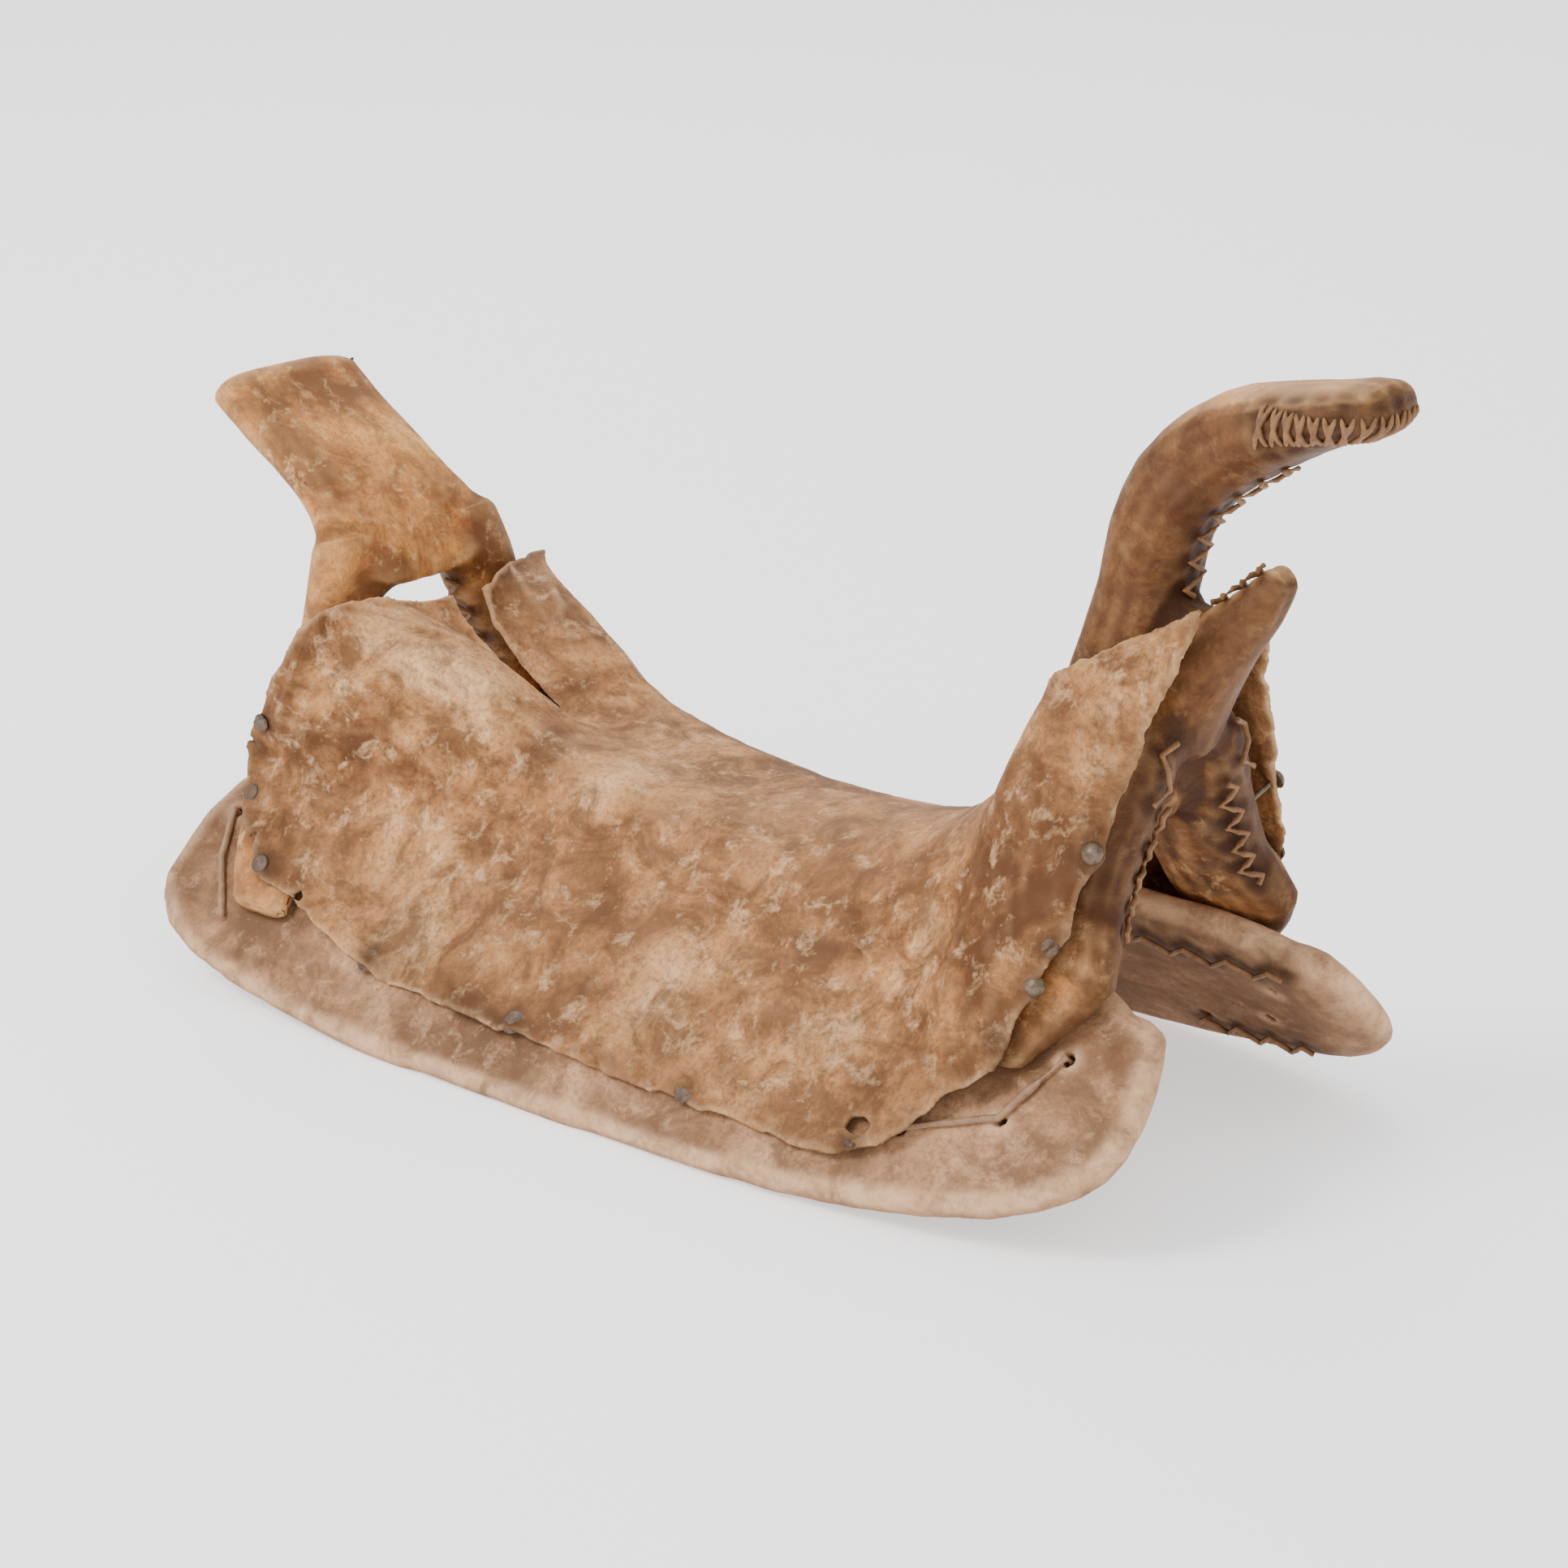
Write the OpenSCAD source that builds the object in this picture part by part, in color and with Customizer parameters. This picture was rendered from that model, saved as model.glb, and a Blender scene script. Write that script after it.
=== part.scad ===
// Rawhide-covered wooden saddle tree: two bars, a horned front fork, a cantle and a nailed seat leather.
// +X points to the front (the horn), +Z up, and the right-hand bar is on the -Y side.

/* [Tree] */
// Length of each bar
bar_length = 540; // [440:5:660]
// Slope of the bars, measured from the vertical
bar_tilt = 45; // [40:1:50]
// Width between the lower edges of the two bars
tree_width = 292; // [270:2:340]
// Width of a bar up its slope
bar_slope_w = 138; // [118:1:146]
// Thickness of the wood of a bar
bar_wood_t = 12; // [10:0.5:15]
// Height of the horn above the bars' lower edges
horn_height = 350; // [320:1:390]
// Height of the cantle above the bars' lower edges
cantle_height = 262; // [235:1:290]

/* [Hide and leather] */
// Thickness of the rawhide covers
hide_t = 2; // [1.4:0.1:2.6]
// Thickness of the seat leather
seat_t = 2.8; // [2.2:0.1:3.4]
// Radius of the rawhide lacing
lace_r = 1.5; // [1.2:0.1:1.8]

/* [Fasteners] */
// Head diameter of the flat clout nails
clout_d = 12; // [9.6:0.1:14.4]
// Head diameter of the domed tacks
dome_d = 9.6; // [7.8:0.1:11.6]
// Shank diameter of the nails
shank_d = 2.4; // [1.8:0.1:3]
// Diameter of the thong holes through the bars
thong_hole_d = 6; // [5:0.1:7]

/* [Hidden] */
// Air left between pieces that lie against each other
seat_gap = 0.3;
// Points round a lofted section and steps between two of its stations
ring_n = 16;
loft_steps = 2;
// Nominal sizes that the station tables are written for
nominal_length = 540;
nominal_horn = 350;
nominal_cantle = 262;
nominal_width = 292;
kx = bar_length / nominal_length;
ky = tree_width / nominal_width;
kz_front = horn_height / nominal_horn;
kz_rear = cantle_height / nominal_cantle;
bar_t = bar_wood_t + 2 * (hide_t + seat_gap);
half_width = tree_width / 2;
// Height of the outer faces' lower line above the lowest point of the bars
base_z = 2.2;
// The cantle reaches back less than the horn reaches forward: this centres the tree on the origin.
centre_x = 6.05 * kx;

// ---- vectors and curves ----
function unit(v) = v / norm(v);
function mix(a, b, t) = a + (b - a) * t;
function spline(a, b, c, d, t) =
    0.5 * (2 * b + (c - a) * t + (2 * a - 5 * b + 4 * c - d) * t * t + (3 * b - a - 3 * c + d) * t * t * t);
function clampi(i, n) = max(0, min(n - 1, i));
function along(table, t) =
    let (n = len(table), i = min(n - 2, floor(t)), f = t - i)
    spline(table[clampi(i - 1, n)], table[i], table[i + 1], table[clampi(i + 2, n)], f);
function closed_curve(pts, steps) =
    let (n = len(pts))
    [for (i = [0 : n - 1]) for (s = [0 : steps - 1])
        spline(pts[(i + n - 1) % n], pts[i], pts[(i + 1) % n], pts[(i + 2) % n], s / steps)];

// ---- solids from rings of points ----
module skin_rings(rings) {
    n = len(rings[0]);
    m = len(rings);
    polyhedron(
        points = [for (r = rings) each r],
        faces = [
            [for (i = [0 : n - 1]) i],
            [for (i = [n - 1 : -1 : 0]) (m - 1) * n + i],
            for (k = [0 : m - 2]) for (i = [0 : n - 1]) each [
                [k * n + i, (k + 1) * n + i, (k + 1) * n + (i + 1) % n],
                [k * n + i, (k + 1) * n + (i + 1) % n, k * n + (i + 1) % n],
            ],
        ],
        convexity = 6);
}

// ---- lofts through stations ----
// A station is [centre, thickness direction, width direction, half thickness, half width, squareness].
// A squareness of 1 is an ellipse, and a smaller one has fuller corners.
function station(c, u, v, a, b, square = 0.86) = concat(c, unit(u), unit(v), [a, b, square]);
function centre_of(s) = [s[0], s[1], s[2]];
function thick_dir(s) = unit([s[3], s[4], s[5]]);
function width_dir(s) = unit([s[6], s[7], s[8]]);
function rounded(x, squareness) = sign(x) * pow(abs(x), squareness);
function on_section(s, angle, grow, share = 1) =
    centre_of(s)
    + share * (s[9] + grow) * rounded(cos(angle), s[11]) * thick_dir(s)
    + share * (s[10] + grow) * rounded(sin(angle), s[11]) * width_dir(s);
function section_ring(s, grow, turn, shift = [0, 0, 0], share = 1) =
    [for (i = [0 : ring_n - 1]) on_section(s, turn * 360 * i / ring_n, grow, share = share) + shift];
function end_axis(a, b) = unit(centre_of(a) - centre_of(b));
function loft_rings(table, grow) =
    let (
        m = len(table) - 1,
        first = table[0], last = table[m],
        back = end_axis(first, along(table, 0.1)), fore = end_axis(last, along(table, m - 0.1)),
        turn = sign(cross(thick_dir(last), width_dir(last)) * fore),
        r0 = 0.5 * min(first[9], first[10]) + grow, r1 = 0.5 * min(last[9], last[10]) + grow)
    [
        section_ring(first, grow, turn, r0 * back, 0.55),
        section_ring(first, grow, turn, 0.7 * r0 * back, 0.85),
        for (k = [0 : m * loft_steps]) section_ring(along(table, k / loft_steps), grow, turn),
        section_ring(last, grow, turn, 0.7 * r1 * fore, 0.85),
        section_ring(last, grow, turn, r1 * fore, 0.55),
    ];
module loft(table, grow = 0) { skin_rings(loft_rings(table, grow)); }
// ---- places ----
// Nominal places grow with the tree: heights near the horn with the horn, at the rear with the cantle.
front_x = 120;
rear_x = -120;
function height_scale(x) =
    mix(kz_rear, kz_front, max(0, min(1, (x - rear_x) / (front_x - rear_x))));
function place(x, y, z) = 
    [kx * x - centre_x, ky * y, base_z + height_scale(x) * z];
bar_normal = [0, -cos(bar_tilt), sin(bar_tilt)];
bar_up = [0, sin(bar_tilt), cos(bar_tilt)];
// A point on the right-hand bar's outer face at height z, lifted off the face by h
function face(x, z, h = 0) =
    [kx * x - centre_x, z * tan(bar_tilt) - half_width, base_z + z] + h * bar_normal;
function on_slope(x, w, h) = [x - centre_x, -half_width, base_z] + w * bar_up + h * bar_normal;
module on_bar(x, w, h) {
    multmatrix([
        [1, 0, 0, on_slope(x, w, h)[0]],
        [0, bar_up[1], bar_normal[1], on_slope(x, w, h)[1]],
        [0, bar_up[2], bar_normal[2], on_slope(x, w, h)[2]],
    ]) children();
}
module both_sides() {
    children();
    mirror([0, 1, 0]) children();
}

// ---- bars ----
// Outline of a bar along its length and up its slope, as shares of half the length and of the slope width
bar_outline = [
    [-0.965, 0.79], [-1.0, 0.48], [-0.985, 0.31], [-0.87, 0.165], [-0.62, 0.068], [-0.33, 0.034],
    [0, 0.03], [0.33, 0.036], [0.6, 0.085], [0.83, 0.185], [0.955, 0.325], [0.998, 0.48], [0.995, 0.69],
    [0.965, 0.87], [0.9, 0.9], [0.84, 0.96], [0.7, 1.0], [0.2, 1.0], [-0.4, 1.0], [-0.8, 0.96],
];
bar_edge = [for (p = closed_curve(bar_outline, 2)) [p[0] * bar_length / 2, p[1] * bar_slope_w]];
function edge_normal(i) =
    let (n = len(bar_edge), d = unit(bar_edge[(i + 1) % n] - bar_edge[(i + n - 1) % n])) [d[1], -d[0]];
function inset_edge(inset) = [for (i = [0 : len(bar_edge) - 1]) bar_edge[i] - inset * edge_normal(i)];
// The rim is round, and bevelled towards the horse's side, as [inset, height] shares of the thickness.
bar_rim = [[1.3, -1], [0.7, -0.93], [0.25, -0.75], [0.05, -0.52], [0, -0.32], [0.08, -0.12], [0.32, 0]];
module bar_blank(grow = 0) {
    skin_rings([for (p = bar_rim)
        [for (q = inset_edge(p[0] * bar_t - grow)) on_slope(q[0], q[1], p[1] * bar_t + grow * (2 * p[1] + 1))]]);
}
// Holes for the thongs that tie the fork and the cantle down, as [x, z] on the bar's outer face
front_thong_holes = [[228, 68.3], [213, 45], [171, 33]];
rear_thong_holes = [[-249, 65], [-240, 48], [-221, 29]];
// Small holes along the lower edge of each bar, where the skirts were nailed
skirt_holes = [[-112, 18], [-36, 17], [68, 17]];
skirt_hole_d = 2.4;
skirt_hole_depth = 12;
module square_to_face(x, z, h) { translate(face(x, z, h)) rotate([90 - bar_tilt, 0, 0]) children(); }
module bar_holes() {
    for (p = concat(front_thong_holes, rear_thong_holes))
        square_to_face(p[0], p[1], 0) cylinder(h = 4 * bar_t, d = thong_hole_d, center = true, $fn = 32);
    for (p = skirt_holes)
        square_to_face(p[0], p[1], -skirt_hole_depth)
            cylinder(h = 2 * skirt_hole_depth, d = skirt_hole_d, $fn = 32);
}
module bar_core() {
    difference() {
        bar_blank(-hide_t - seat_gap);
        bar_holes();
        nail_holes();
    }
}
// The lower rims are rubbed flat where the tree stands on them.
module below_floor() {
    translate([0, 0, -horn_height / 2]) cube([2 * bar_length, 2 * tree_width, horn_height], center = true);
}
// The rawhide is sewn shut up on the horse's side, so the cover is open there by the seam's width.
seam_w = 3;
seam_share = 0.84;
module bar_cover() {
    difference() {
        bar_blank();
        bar_blank(-hide_t);
        below_floor();
        bar_holes();
        nail_holes();
        on_bar(0, seam_share * bar_slope_w, -bar_t) cube([0.88 * bar_length, seam_w, 4 * hide_t], center = true);
    }
}

// ---- front fork: neck and horn, two legs and the hook ----
function lean(angle) = [-sin(angle), 0, cos(angle)];
function mid(x, z, angle, a, b) = station(place(x, 0, z), lean(angle), [0, 1, 0], a, b);
horn = [
    mid(192, 162, 80, 27, 24),
    mid(193, 190, 79, 24, 22),
    mid(197, 217, 77, 20.5, 19.5),
    mid(203, 243, 76, 18, 18),
    mid(207, 265, 70, 17.5, 18),
    mid(217, 288, 52, 17.5, 18.5),
    mid(236, 307, 36, 17.5, 19.5),
    mid(257, 319, 27, 15.5, 21),
    mid(277, 326, 22, 11.5, 23),
    mid(296, 332, 19, 9, 23),
    mid(309, 336, 17, 7.5, 17),
];
hook = [
    mid(214, 196, 50, 25, 21),
    mid(230, 216, 50, 17, 15),
    mid(246, 233, 50, 11, 10),
    mid(258, 246, 50, 8, 7.5),
    mid(266, 257, 50, 5, 5),
];
function side(x, y, z, v, a, b) = station(place(x, -y, z), [1, 0, 0], v, a, b);
function flat_on_bar(x, z, h, a, b) = station(face(x, z, h), [1, 0, 0], bar_normal, a, b);
fork_leg = [
    side(205, 5, 202, [0, -1, 0.15], 22, 14),
    side(204, 21, 180, [0, -0.95, 0.3], 28, 16),
    side(203, 39, 148, [0, -0.93, 0.36], 25.5, 15),
    side(203, 52, 120, [0, -0.9, 0.42], 26, 14),
    flat_on_bar(208, 90, 13, 30, 11),
    flat_on_bar(200, 72, 7, 21, 5),
    flat_on_bar(198, 62, 4.8, 15, 2.2),
];
cover_grow = hide_t + seat_gap;
// Everything that stands on the bars stops at the bars' hide.
module clear_of_bars(grow) {
    clear = cover_grow + seat_gap - grow;
    both_sides() on_bar(0, 0, clear - bar_t - 2 * clear)
        linear_extrude(bar_t + 2 * clear) polygon(inset_edge(-clear));
}
module fork_solid(grow) {
    difference() {
        union() {
            loft(horn, grow);
            loft(hook, grow);
            both_sides() loft(fork_leg, grow);
        }
        clear_of_bars(grow);
    }
}
module fork_core() {
    difference() {
        fork_solid(0);
        nail_holes();
    }
}
module fork_cover() {
    difference() {
        fork_solid(cover_grow);
        fork_solid(seat_gap);
        nail_holes();
        // the seam up the front of the neck
        translate(place(208, 0, 238)) translate([0, -seam_w / 2, 0]) cube([110, seam_w, kz_front * 84]);
    }
}

// ---- cantle: a slab that leans back, on two legs that straddle the bars ----
function slab(x, z, angle, a, b) =
    station(place(x, 0, z), [cos(angle), 0, sin(angle)], [0, 1, 0], a, b, 0.55);
cantle_slab = [
    slab(-213, 173, 8, 6.5, 49),
    slab(-216, 183, 18, 6.5, 52),
    slab(-223, 194, 32, 6.5, 47.5),
    slab(-236, 206, 44, 6.5, 41.5),
    slab(-256, 221, 49, 6.8, 39.5),
    slab(-279, 236, 46, 7.5, 40),
    slab(-296, 249, 36, 8.5, 40),
];
function leg(x, y, z, v, a, b) = station(place(x, -y, z), [1, 0, 0.12], v, a, b, 0.7);
cantle_leg = [
    leg(-218, 37, 190, [0, -1, 0.05], 6.5, 17),
    leg(-215, 43, 169, [0, -0.98, 0.2], 8, 17.5),
    leg(-213, 54, 143, [0, -0.93, 0.36], 10, 14.5),
    leg(-217, 68, 116, [0, -0.87, 0.48], 15, 12),
    flat_on_bar(-219, 85, 10.5, 20, 8),
    flat_on_bar(-213, 57, 5, 20, 2.9),
    flat_on_bar(-201, 36, 4.2, 15, 1.6),
];
module cantle_solid(grow) {
    difference() {
        union() {
            loft(cantle_slab, grow);
            both_sides() loft(cantle_leg, grow);
        }
        clear_of_bars(grow);
    }
}
module cantle_core() {
    difference() {
        cantle_solid(0);
        nail_holes();
    }
}
module cantle_cover() {
    difference() {
        cantle_solid(cover_grow);
        cantle_solid(seat_gap);
        nail_holes();
        // the seam under the crown of the arch
        translate(place(-213, 0, 162)) cube([60, seam_w, 34], center = true);
    }
}

// ---- seat leather ----
// Each row crosses the right-hand half from the lower edge to the middle, in places on its under side.
function over(x, y, z) = place(x, -y, z);
seat_rows = [
    [face(-203, 44, 9), face(-226, 62, 14.5), face(-235, 83, 22), over(-225, 83, 119), over(-215, 78, 150),
        over(-201, 71, 167), over(-190, 38, 169), over(-179, 9, 166)],
    [face(-172, 39, 5), face(-190, 60, 12), face(-200, 82, 20), over(-201, 82, 116), over(-197, 74, 143),
        over(-188, 60, 162), over(-180, 34, 162), over(-168, 7.5, 148)],
    [face(-137, 29, 1.2), face(-147, 54, 1.5), face(-155, 80, 8), over(-160, 66, 118), over(-158, 58, 139),
        over(-154, 46, 154), over(-149, 24, 149), over(-141, 5, 129)],
    [face(-112, 27, 0.6), face(-117, 52, 0.6), face(-120, 80, 3), over(-122, 58, 106), over(-122, 51, 123),
        over(-121, 40, 138), over(-118, 20, 131), over(-114, 2.5, 119)],
    [face(-86, 26, 0.5), face(-90, 50, 0.5), face(-92, 79, 1.2), over(-92, 54, 101), over(-92, 46, 113),
        over(-92, 35, 121), over(-92, 17, 118), over(-92, 0, 113.5)],
    [face(-20, 23, 0.5), face(-20, 50, 0.5), face(-20, 78, 0.6), over(-20, 50, 98), over(-20, 41, 105),
        over(-20, 30, 109), over(-20, 15, 110), over(-20, 0, 109.5)],
    [face(48, 20.5, 0.5), face(46, 50, 0.5), face(45, 78, 0.6), over(44, 50, 98), over(44, 39, 104.5),
        over(44, 27, 108), over(44, 13, 110), over(44, 0, 110.5)],
    [face(110, 19.5, 0.5), face(108, 50, 0.5), face(106, 78, 1.5), over(106, 52, 100), over(106, 40, 109),
        over(106, 26, 116), over(106, 13, 119), over(106, 0, 119.5)],
    [face(157, 21, 1.2), face(155, 54, 2), face(151, 78, 7), over(153, 59, 111), over(152, 45, 131),
        over(151, 28, 144), over(150, 14, 149), over(149, 0, 150)],
    [face(182, 36, 5.5), face(176, 60, 11), face(170, 79, 19), over(172, 65, 123), over(171, 53, 152),
        over(170, 36, 176), over(168, 18, 189), over(165, 0, 194)],
    [face(196, 50, 9), face(199, 66, 17), face(200, 86, 28), over(200, 71, 132), over(199, 59, 161),
        over(195, 45, 187), over(187, 36, 198), over(182, 28, 206)],
    [face(206, 58, 10), face(213, 73, 18), face(221, 90, 29), over(226, 71, 129), over(229, 57, 157),
        over(233, 43, 189), over(240, 31, 219), over(246, 20, 246)],
];
row_steps = 2;
function seat_point(i, j) =
    along([for (k = [0 : len(seat_rows) - 1]) along(seat_rows[k], j)], i);
step = 0.12;
function seat_normal(i, j) =
    let (
        last_i = len(seat_rows) - 1, last_j = len(seat_rows[0]) - 1,
        di = seat_point(min(last_i, i + step), j) - seat_point(max(0, i - step), j),
        dj = seat_point(i, min(last_j, j + step)) - seat_point(i, max(0, j - step)),
        n = unit(cross(di, dj)))
    n;
// The rows where the two halves are one sheet, between the end of the slit and the neck
joined_rows = [4, 9];
row_n = (len(seat_rows) - 1) * row_steps;
column_n = (len(seat_rows[0]) - 1) * row_steps;
function joined(i) = i >= joined_rows[0] * row_steps && i <= joined_rows[1] * row_steps;
function seat_corner(i, j, layer, way) =
    let (
        a = i / row_steps, b = j / row_steps,
        p = seat_point(a, b) + layer * seat_t * seat_normal(a, b),
        y = j == column_n && joined(i) ? 0 : p[1])
    [p[0], way * y, p[2]];
// way is 1 on the right-hand half and -1 on the left; layer is 0 on the under side and 1 on top
function seat_index(way, layer, i, j) =
    let (half = way == 1 || (j == column_n && joined(i)) ? 0 : 1)
    ((half * 2 + layer) * (row_n + 1) + i) * (column_n + 1) + j;
function seat_quad(a, b, c, d, flipped) =
    flipped ? [[a, c, b], [a, d, c]] : [[a, b, c], [a, c, d]];
function seat_wall(way, i0, j0, i1, j1) = seat_quad(
    seat_index(way, 0, i0, j0), seat_index(way, 0, i1, j1),
    seat_index(way, 1, i1, j1), seat_index(way, 1, i0, j0), way == -1);
module seat_sheet() {
    difference() {
        polyhedron(
            points = [for (way = [1, -1]) for (layer = [0, 1]) for (i = [0 : row_n]) for (j = [0 : column_n])
                seat_corner(i, j, layer, way)],
            faces = [for (way = [1, -1]) each concat(
                [for (layer = [0, 1]) for (i = [0 : row_n - 1]) for (j = [0 : column_n - 1]) each seat_quad(
                    seat_index(way, layer, i, j), seat_index(way, layer, i, j + 1),
                    seat_index(way, layer, i + 1, j + 1), seat_index(way, layer, i + 1, j),
                    (layer == 1) != (way == 1))],
                [for (i = [0 : row_n - 1]) each seat_wall(way, i + 1, 0, i, 0)],
                [for (i = [0 : row_n - 1]) if (!(joined(i) && joined(i + 1)))
                    each seat_wall(way, i, column_n, i + 1, column_n)],
                [for (j = [0 : column_n - 1]) each seat_wall(way, 0, j, 0, j + 1)],
                [for (j = [0 : column_n - 1]) each seat_wall(way, row_n, j + 1, row_n, j)])],
            convexity = 8);
        nail_holes();
    }
}

// ---- nails, tacks and screws, placed by [row, column] on the right-hand half of the seat leather ----
clouts = [[2.45, 0.17], [4.8, 0.16], [6.3, 0.16]];
edge_nails = [[0.14, 2.85], [0.14, 2.1], [0.14, 1.3], [0.16, 0.3]];
domes = [[10.86, 3.75], [10.78, 1.5]];
screws = [[10.75, 2.15]];
sunk = [[10.3, 0.75]];
bent = [[7.95, 0.12]];
nail_lift = 0.3;
shank_l = 15;
clout_h = 1.2;
dome_h = 3.8;
edge_d = 9;
screw_d = 7.8;
sunk_d = 5;
module on_seat(spot, h = 0) {
    n = seat_normal(spot[0], spot[1]);
    p = seat_point(spot[0], spot[1]) + (seat_t + h) * n;
    u = unit(cross([0.2, 1, 0.1], n));
    v = cross(n, u);
    multmatrix([[u[0], v[0], n[0], p[0]], [u[1], v[1], n[1], p[1]], [u[2], v[2], n[2], p[2]], [0, 0, 0, 1]])
        children();
}
module shank() {
    translate([0, 0, -shank_l]) cylinder(h = shank_l + 0.2, d = shank_d, $fn = 20);
}
nail_spots = concat(clouts, edge_nails, domes, screws, sunk, bent);
module nail_holes() {
    both_sides() for (spot = nail_spots)
        on_seat(spot) translate([0, 0, -shank_l - 1])
            cylinder(h = shank_l + 6, d = shank_d + 2 * seat_gap, $fn = 20);
}
module flat_nail(d) {
    cylinder(h = clout_h / 2, d = d, $fn = 36);
    cylinder(h = clout_h, d = 0.86 * d, $fn = 36);
    shank();
}
module dome_tack() {
    r = (dome_d * dome_d / 4 + dome_h * dome_h) / (2 * dome_h);
    intersection() {
        translate([0, 0, dome_h - r]) sphere(r, $fn = 40);
        cylinder(h = dome_h, d = dome_d, $fn = 40);
    }
    shank();
}
module slotted_screw() {
    difference() {
        cylinder(h = 1.6, d = screw_d, $fn = 36);
        translate([0, 0, 1.5]) cube([1.3, 2 * screw_d, 1.6], center = true);
    }
    shank();
}
module sunk_nail() {
    cylinder(h = 0.8, d = sunk_d, $fn = 28);
    shank();
}
module hooked_nail() {
    union() {
        shank();
        cylinder(h = 2.6, d = shank_d, $fn = 20);
        translate([0, 0, 2.6]) sphere(d = shank_d, $fn = 20);
        translate([0, 0, 2.6]) rotate([0, 78, 0]) cylinder(h = 6, d = shank_d, $fn = 20);
    }
}

// ---- rawhide lacing and thongs ----
lace_sides = 5;
lace_lift = cover_grow + lace_r + seat_gap;
function cord_ring(pts, i, r) =
    let (
        m = len(pts) - 1,
        t = unit(pts[min(m, i + 1)] - pts[max(0, i - 1)]),
        u = unit(cross(t, [0.31, 0.87, 0.38])), v = cross(t, u))
    [for (k = [0 : lace_sides - 1]) pts[i] + r * (cos(360 * k / lace_sides) * u + sin(360 * k / lace_sides) * v)];
module cord(pts, r = lace_r) { skin_rings([for (i = [0 : len(pts) - 1]) cord_ring(pts, i, r)]); }
// A lace that crosses a seam to and fro: n crossings from station t0 to t1 about an angle of the section
function laced_seam(table, t0, t1, n, angle, spread, lift) = [
    for (i = [0 : 2 * n]) let (
        t = mix(t0, t1, i / (2 * n)), at_edge = i % 2 == 1, side = (floor(i / 2) % 2 == 0) ? 1 : -1)
        on_section(along(table, t), angle + (at_edge ? side * spread : 0), lift + (at_edge ? 0 : 0.6)),
];
// Loops that go over the rim of the horn cap from its top to its under side
function rim_loops(t0, t1, n, rim) = [
    for (i = [0 : n]) for (k = [-2 : 2]) let (
        t = mix(t0, t1, (i + (k + 2) / 5) / (n + 1)), way = i % 2 == 0 ? 1 : -1)
        on_section(along(horn, t), rim + way * k * 20, lace_lift),
];
module horn_cap_lace() {
    cord(rim_loops(7.6, 9.7, 6, 90));
    cord(rim_loops(7.6, 9.7, 6, -90));
    nose = horn[len(horn) - 1];
    fore = end_axis(nose, horn[len(horn) - 2]);
    r = 0.5 * min(nose[9], nose[10]) + lace_lift;
    for (share = [-0.6, 0, 0.6]) cord([
        for (k = [-90 : 30 : 90])
            centre_of(nose) + share * nose[10] * width_dir(nose)
                + (nose[9] + lace_lift + 0.4) * sin(k) * thick_dir(nose) + (r + 0.6) * cos(k) * fore,
    ]);
}
module horn_seam_lace() { cord(laced_seam(horn, 3.3, 7.4, 13, 180, 13, lace_lift)); }
module hook_lace() { cord(laced_seam(hook, 2.0, 4, 6, 0, 22, lace_lift)); }
module throat_lace() { both_sides() cord(laced_seam(fork_leg, 0.7, 1.5, 2, 12, 14, lace_lift)); }
module leg_lace() { cord(laced_seam(fork_leg, 1.5, 3.2, 9, -28, 12, lace_lift)); }
module arch_lace() { both_sides() cord(laced_seam(cantle_leg, 1.1, 3.2, 8, -90, 16, lace_lift)); }
module bar_lace() {
    under = -bar_t - lace_r - seat_gap;
    w = seam_share * bar_slope_w;
    for (run = [[0.62, 0.9, w, 7], [0.62, 0.84, 0.3 * bar_slope_w, 7]]) {
        x0 = run[0] * bar_length / 2;
        x1 = run[1] * bar_length / 2;
        cord([for (i = [0 : 2 * run[3]])
            on_slope(mix(x0, x1, i / (2 * run[3])), run[2] + [0, 4.5, 0, -4.5][i % 4], under)]);
    }
}
// A thong comes up through each hole and lies along the bar's face to the next one.
thong_r = 1.8;
module thong(holes) {
    over_face = thong_r + seat_gap;
    n = len(holes);
    cord(concat(
        [face(holes[0][0], holes[0][1], -6)],
        [for (i = [0 : n - 2]) each [
            face(holes[i][0], holes[i][1], i == 0 ? over_face : over_face + 0.4),
            face(mix(holes[i][0], holes[i + 1][0], 0.5), mix(holes[i][1], holes[i + 1][1], 0.5), over_face)]],
        [face(holes[n - 1][0], holes[n - 1][1], over_face), face(holes[n - 1][0], holes[n - 1][1], -6)]), thong_r);
}

// ---- sub-parts ----
wood = "burlywood";
rawhide = "peru";
laces = "saddlebrown";
module right_bar() { color(wood) bar_core(); }
module left_bar() { color(wood) mirror([0, 1, 0]) bar_core(); }
module right_bar_rawhide() { color(rawhide) bar_cover(); }
module left_bar_rawhide() { color(rawhide) mirror([0, 1, 0]) bar_cover(); }
module front_fork() { color(wood) fork_core(); }
module front_fork_rawhide() { color(rawhide) fork_cover(); }
module cantle() { color(wood) cantle_core(); }
module cantle_rawhide() { color(rawhide) cantle_cover(); }
module seat_leather() { color("tan") seat_sheet(); }
module horn_cap_lacing() { color(laces) horn_cap_lace(); }
module horn_seam_lacing() { color(laces) horn_seam_lace(); }
module hook_lacing() { color(laces) hook_lace(); }
module throat_lacing() { color(laces) throat_lace(); }
module right_leg_lacing() { color(laces) leg_lace(); }
module left_leg_lacing() { color(laces) mirror([0, 1, 0]) leg_lace(); }
module right_bar_lacing() { color(laces) bar_lace(); }
module left_bar_lacing() { color(laces) mirror([0, 1, 0]) bar_lace(); }
module cantle_arch_lacing() { color(laces) arch_lace(); }
module front_right_thong() { color(rawhide) thong(front_thong_holes); }
module front_left_thong() { color(rawhide) mirror([0, 1, 0]) thong(front_thong_holes); }
module rear_right_thong() { color(rawhide) thong(rear_thong_holes); }
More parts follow.
